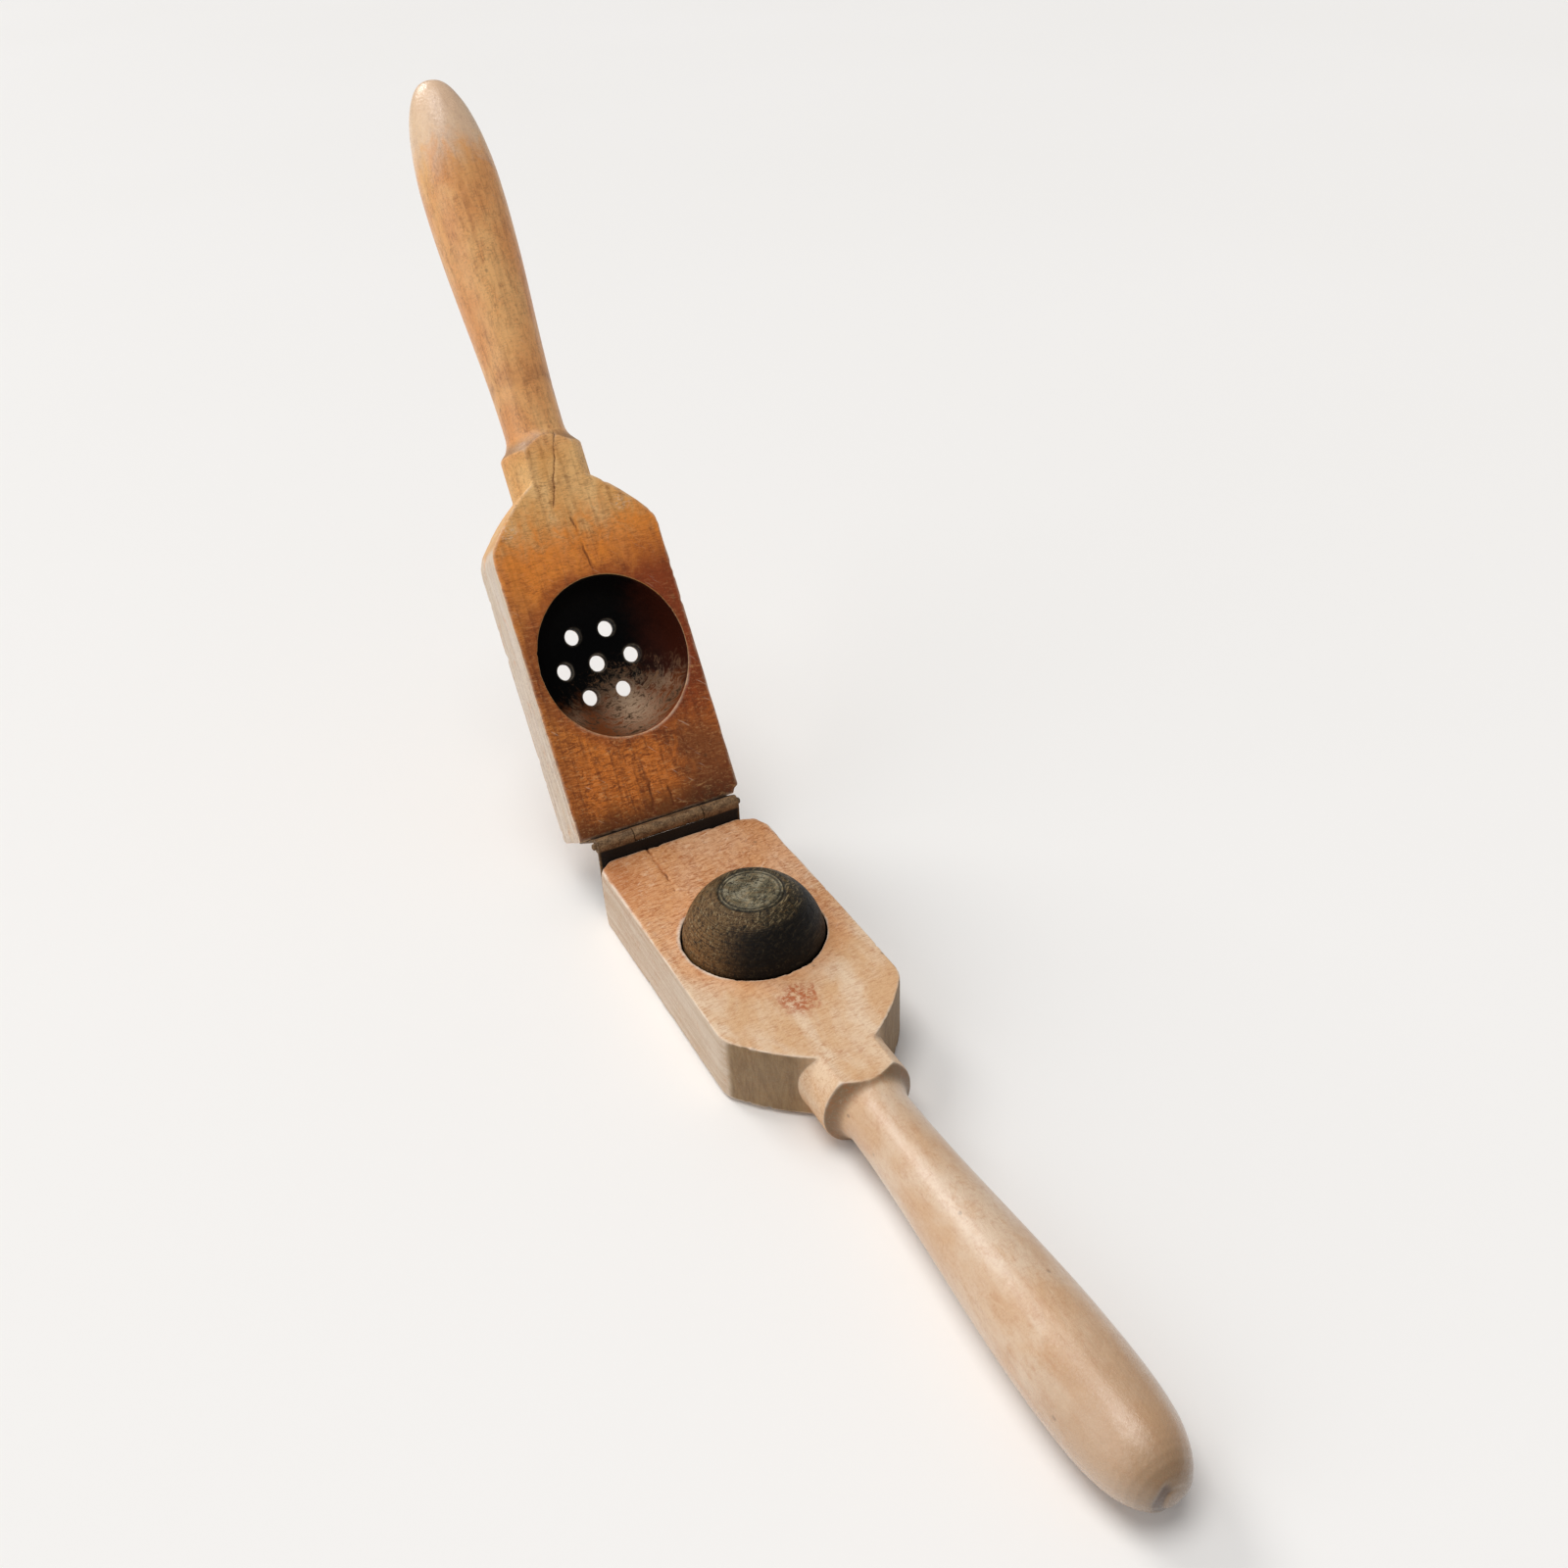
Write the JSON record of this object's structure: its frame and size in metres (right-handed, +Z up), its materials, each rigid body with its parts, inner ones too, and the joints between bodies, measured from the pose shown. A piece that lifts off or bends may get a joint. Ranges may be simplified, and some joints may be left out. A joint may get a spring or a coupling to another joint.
{
  "type": "lemon squeezer",
  "caption": "Hinged wooden citrus press: long paddles with turned handles, a drained bowl in the upper head and a dark dome on the lower head that presses fruit into it.",
  "frame": {"origin": "on the table, at the middle of the lower head's width, where its flat back face meets the eased edge at the hinge end", "axes": "+X along the hinge pin, -Y along the lower handle, +Z up from the table"},
  "size_m": [0.0745, 0.5167, 0.2874],
  "materials": {
    "maple": "old oiled maple, worn smooth and stained by juice",
    "dome_wood": "dark dense hardwood, dulled and speckled",
    "iron": "old rusty iron"
  },
  "bodies": {
    "lower_half": {"lower_paddle": "maple", "dome": "dome_wood", "dome_screw": "iron", "lower_leaf": "iron", "hinge_pin": "iron", "lower_leaf_screw_left": "iron", "lower_leaf_screw_middle": "iron", "lower_leaf_screw_right": "iron"},
    "upper_half": {"upper_paddle": "maple", "upper_leaf": "iron", "upper_leaf_screw_left": "iron", "upper_leaf_screw_middle": "iron", "upper_leaf_screw_right": "iron"}
  },
  "joints": [
    {"name": "hinge", "type": "hinge", "parent": "lower_half", "child": "upper_half", "pos_m": [0, 0.00823, 0.03382], "axis": [-1, 0, 0], "range_deg": [-125, 56.5]}
  ]
}
